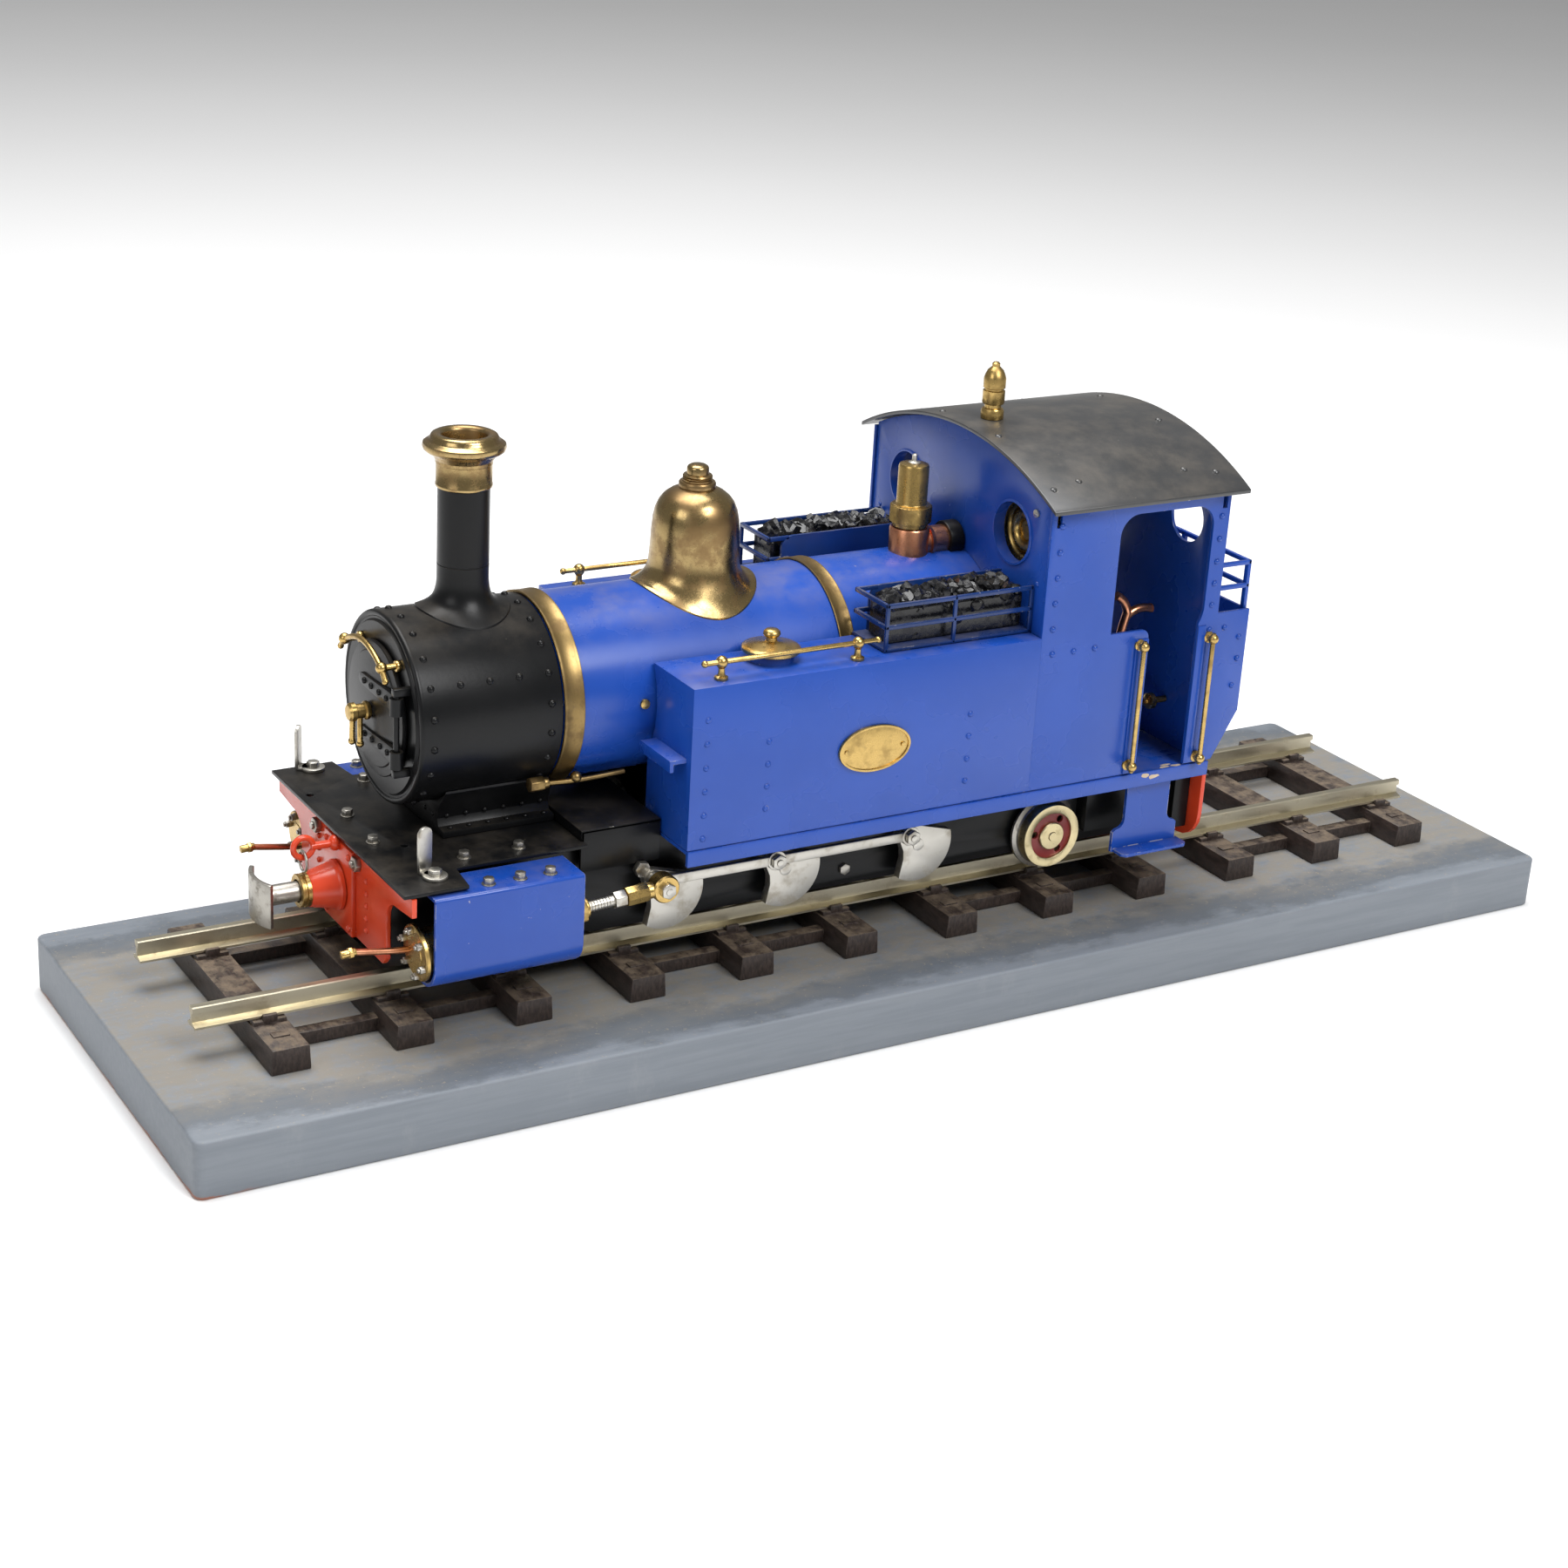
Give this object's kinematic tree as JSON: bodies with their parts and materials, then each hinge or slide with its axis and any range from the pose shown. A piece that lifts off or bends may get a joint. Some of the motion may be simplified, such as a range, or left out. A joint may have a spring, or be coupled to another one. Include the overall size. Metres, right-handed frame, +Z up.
{
  "type": "model steam locomotive",
  "caption": "Model side-tank steam locomotive with outside cylinders and an open cab, on a length of track fixed to a display board.",
  "frame": {"origin": "middle of the display board's underside", "axes": "+X along the track from the buffer end towards the cab, +Y from the viewer's side of the track to the far side, +Z up"},
  "size_m": [0.494, 0.146, 0.1948],
  "materials": {
    "blue_paint": "satin blue enamel with small chips",
    "black_paint": "semi-matt black enamel",
    "red_paint": "satin red enamel",
    "brass": "aged, lightly tarnished brass",
    "copper": "tarnished copper",
    "bright_steel": "bright worn steel",
    "rail_metal": "drawn nickel silver with brown dust",
    "sleeper_plastic": "dusty dark brown moulded plastic",
    "coal": "semi-gloss black moulded coal",
    "board_wood": "grey painted board with dust and rubbed patches"
  },
  "bodies": {
    "display_base": {"plinth": "board_wood", "track_sleepers": "sleeper_plastic", "rail_near": "rail_metal", "rail_far": "rail_metal"},
    "locomotive": {"main_frame": "black_paint", "front_beam": "red_paint", "rear_beam": "red_paint", "buffer_housing": "red_paint", "running_plate": "black_paint", "saddle": "black_paint", "smokebox": "black_paint", "boiler_barrel": "blue_paint", "band_front": "brass", "band_rear": "brass", "chimney": "black_paint", "chimney_cap": "brass", "dome": "brass", "valve_bush": "copper", "cab_front_wall": "blue_paint", "cab_rear_wall": "blue_paint", "rear_footplate": "blue_paint", "cab_pipe": "copper", "tank_near": "blue_paint", "tank_far": "blue_paint", "tank_handrail_near": "brass", "tank_handrail_far": "brass", "nameplate_near": "brass", "nameplate_far": "brass", "coal_tray_near": "blue_paint", "coal_tray_far": "blue_paint", "coal_near": "coal", "coal_far": "coal", "cab_side_near": "blue_paint", "cab_side_far": "blue_paint", "door_handrail_front_near": "brass", "door_handrail_front_far": "brass", "door_handrail_rear_near": "brass", "door_handrail_rear_far": "brass", "cylinder_cover_near": "blue_paint", "cylinder_cover_far": "blue_paint"},
    "smokebox_door": {"smokebox_door": "black_paint"},
    "door_handle": {"door_handle": "brass"},
    "buffer_head": {"buffer_head": "bright_steel"},
    "link_ring": {"link_ring": "bright_steel"},
    "safety_valve": {"safety_valve": "brass"},
    "valve_knob": {"valve_knob": "brass"},
    "trailing_wheelset": {"trailing_wheelset": "brass"},
    "driving_wheelset_1": {"driving_wheelset_1": "bright_steel"},
    "driving_wheelset_2": {"driving_wheelset_2": "bright_steel"},
    "driving_wheelset_3": {"driving_wheelset_3": "bright_steel"},
    "filler_lid_near": {"filler_lid_near": "brass"},
    "filler_lid_far": {"filler_lid_far": "brass"},
    "coupling_rod_near": {"coupling_rod_near": "bright_steel"},
    "coupling_rod_far": {"coupling_rod_far": "bright_steel"},
    "cylinder_near": {"cylinder_near": "brass"},
    "cylinder_far": {"cylinder_far": "brass"},
    "piston_near": {"piston_near": "bright_steel"},
    "piston_far": {"piston_far": "bright_steel"},
    "cab_roof": {"cab_roof": "black_paint", "whistle": "brass"}
  },
  "joints": [
    {"name": "roll", "type": "slide", "parent": "display_base", "child": "locomotive", "axis": [1, 0, 0], "range_m": [-0.10367, 0.10367]},
    {"name": "wheelset_1_spin", "type": "hinge", "parent": "locomotive", "child": "driving_wheelset_1", "pos_m": [-0.086, 0, 0.0508], "axis": [0, 1, 0], "range_deg": [-361, 361]},
    {"name": "wheelset_2_spin", "type": "hinge", "parent": "locomotive", "child": "driving_wheelset_2", "pos_m": [-0.0444, 0, 0.0508], "axis": [0, 1, 0], "range_deg": [-361, 361]},
    {"name": "wheelset_3_spin", "type": "hinge", "parent": "locomotive", "child": "driving_wheelset_3", "pos_m": [0.0046, 0, 0.0508], "axis": [0, 1, 0], "range_deg": [-361, 361]},
    {"name": "trailing_spin", "type": "hinge", "parent": "locomotive", "child": "trailing_wheelset", "pos_m": [0.0572, 0, 0.045], "axis": [0, 1, 0], "continuous": true},
    {"name": "rod_near", "type": "hinge", "parent": "driving_wheelset_2", "child": "coupling_rod_near", "pos_m": [-0.0489, -0.04085, 0.05521], "axis": [0, 1, 0], "range_deg": [-361, 361]},
    {"name": "cylinder_near_rock", "type": "hinge", "parent": "locomotive", "child": "cylinder_near", "pos_m": [-0.145, -0.0452, 0.0508], "axis": [0, 1, 0], "range_deg": [-1.51, 10.75]},
    {"name": "piston_near_slide", "type": "slide", "parent": "cylinder_near", "child": "piston_near", "axis": [0.9967, 0, 0.0806], "range_m": [-0.00198, 0.01062]},
    {"name": "rod_far", "type": "hinge", "parent": "driving_wheelset_2", "child": "coupling_rod_far", "pos_m": [-0.03999, 0.04085, 0.0553], "axis": [0, 1, 0], "range_deg": [-361, 361]},
    {"name": "cylinder_far_rock", "type": "hinge", "parent": "locomotive", "child": "cylinder_far", "pos_m": [-0.145, 0.0452, 0.0508], "axis": [0, 1, 0], "range_deg": [-2.07, 10.19]},
    {"name": "piston_far_slide", "type": "slide", "parent": "cylinder_far", "child": "piston_far", "axis": [0.9975, 0, 0.0708], "range_m": [-0.01087, 0.00173]},
    {"name": "smokebox_door_hinge", "type": "hinge", "parent": "locomotive", "child": "smokebox_door", "pos_m": [-0.1665, -0.0208, 0.107], "axis": [0, 0, 1], "range_deg": [0, 110]},
    {"name": "door_handle_turn", "type": "hinge", "parent": "smokebox_door", "child": "door_handle", "pos_m": [-0.17, 0, 0.1068], "axis": [1, 0, 0], "range_deg": [-90, 90]},
    {"name": "buffer_slide", "type": "slide", "parent": "locomotive", "child": "buffer_head", "axis": [1, 0, 0], "range_m": [0, 0.005], "stiffness_N_per_m": 200},
    {"name": "link_swing", "type": "hinge", "parent": "locomotive", "child": "link_ring", "pos_m": [-0.187, 0, 0.065], "axis": [0, 1, 0], "range_deg": [0, 75]},
    {"name": "safety_valve_lift", "type": "slide", "parent": "locomotive", "child": "safety_valve", "axis": [0, 0, 1], "range_m": [0, 0.012]},
    {"name": "roof_hinge", "type": "hinge", "parent": "locomotive", "child": "cab_roof", "pos_m": [0.072, -0.0476, 0.1579], "axis": [1, 0, 0], "range_deg": [0, 75]},
    {"name": "valve_turn", "type": "hinge", "parent": "locomotive", "child": "valve_knob", "pos_m": [0.098, -0.032, 0.084], "axis": [1, 0, 0], "continuous": true},
    {"name": "filler_lid_near_lift", "type": "slide", "parent": "locomotive", "child": "filler_lid_near", "axis": [0, 0, 1], "range_m": [0, 0.015]},
    {"name": "filler_lid_far_lift", "type": "slide", "parent": "locomotive", "child": "filler_lid_far", "axis": [0, 0, 1], "range_m": [0, 0.015]}
  ],
  "couplings": [
    {"joint": "wheelset_1_spin", "follows": "roll", "rad_per_m": 60.606},
    {"joint": "wheelset_2_spin", "follows": "roll", "rad_per_m": 60.606},
    {"joint": "wheelset_3_spin", "follows": "roll", "rad_per_m": 60.606},
    {"joint": "rod_near", "follows": "roll", "rad_per_m": -60.606},
    {"joint": "rod_far", "follows": "roll", "rad_per_m": -60.606}
  ]
}
